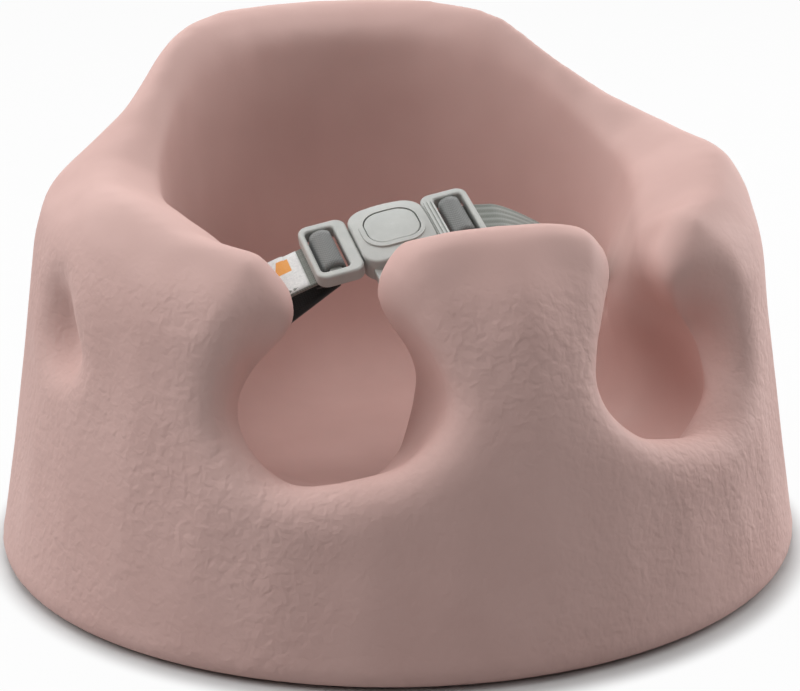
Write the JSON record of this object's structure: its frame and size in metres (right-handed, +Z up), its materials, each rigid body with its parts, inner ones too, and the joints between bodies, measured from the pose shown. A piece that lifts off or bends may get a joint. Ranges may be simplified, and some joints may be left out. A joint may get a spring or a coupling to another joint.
{
  "type": "baby floor seat",
  "caption": "One-piece moulded foam floor seat for a baby: deep bucket, raised back, pommel between two leg openings, and a three-point lap belt with a push-button buckle.",
  "frame": {"origin": "centre of the base, on the floor", "axes": "+Z up, -Y front of the seat where the legs go, +X to the right of a viewer who stands in front of it"},
  "size_m": [0.379, 0.365, 0.236],
  "materials": {
    "foam": "matte",
    "buckle": "satin",
    "button": "satin",
    "latch": "satin",
    "spring": "satin",
    "plate": "satin",
    "webbing": "woven",
    "label": "woven"
  },
  "bodies": {
    "seat": {"seat_body": "foam", "left_anchor": "plate", "right_anchor": "plate", "crotch_anchor": "plate", "left_webbing": "webbing", "right_webbing": "webbing", "crotch_webbing": "webbing"},
    "buckle": {"buckle_cover": "buckle", "buckle_back": "buckle", "latch_leaf": "latch", "button_spring": "spring", "crotch_loop": "webbing"},
    "left_tongue": {"left_tongue": "buckle", "left_strap_tail": "webbing", "strap_label": "label"},
    "right_tongue": {"right_tongue": "buckle", "right_strap_tail": "webbing"},
    "button": {"release_button": "button"}
  },
  "joints": [
    {"name": "belt_swing", "type": "hinge", "parent": "seat", "child": "buckle", "pos_m": [0, -0.07, 0.054], "axis": [1, 0, 0], "range_deg": [-15, 0], "deforming": ["left_webbing", "right_webbing", "crotch_webbing", "left_strap_tail", "right_strap_tail", "strap_label", "crotch_loop"]},
    {"name": "left_tongue_pull", "type": "slide", "parent": "buckle", "child": "left_tongue", "axis": [-0.9781, 0.0841, -0.1902], "range_m": [0, 0.0125], "deforming": ["left_webbing", "left_strap_tail", "strap_label", "latch_leaf"]},
    {"name": "right_tongue_pull", "type": "slide", "parent": "buckle", "child": "right_tongue", "axis": [0.9781, -0.0841, 0.1902], "range_m": [0, 0.0125], "deforming": ["right_webbing", "right_strap_tail", "latch_leaf"]},
    {"name": "button_press", "type": "slide", "parent": "buckle", "child": "button", "axis": [0.2083, 0.3626, -0.9084], "range_m": [0, 0.0018], "stiffness_N_per_m": 400, "springref_m": -0.001, "deforming": ["button_spring", "latch_leaf"]}
  ]
}
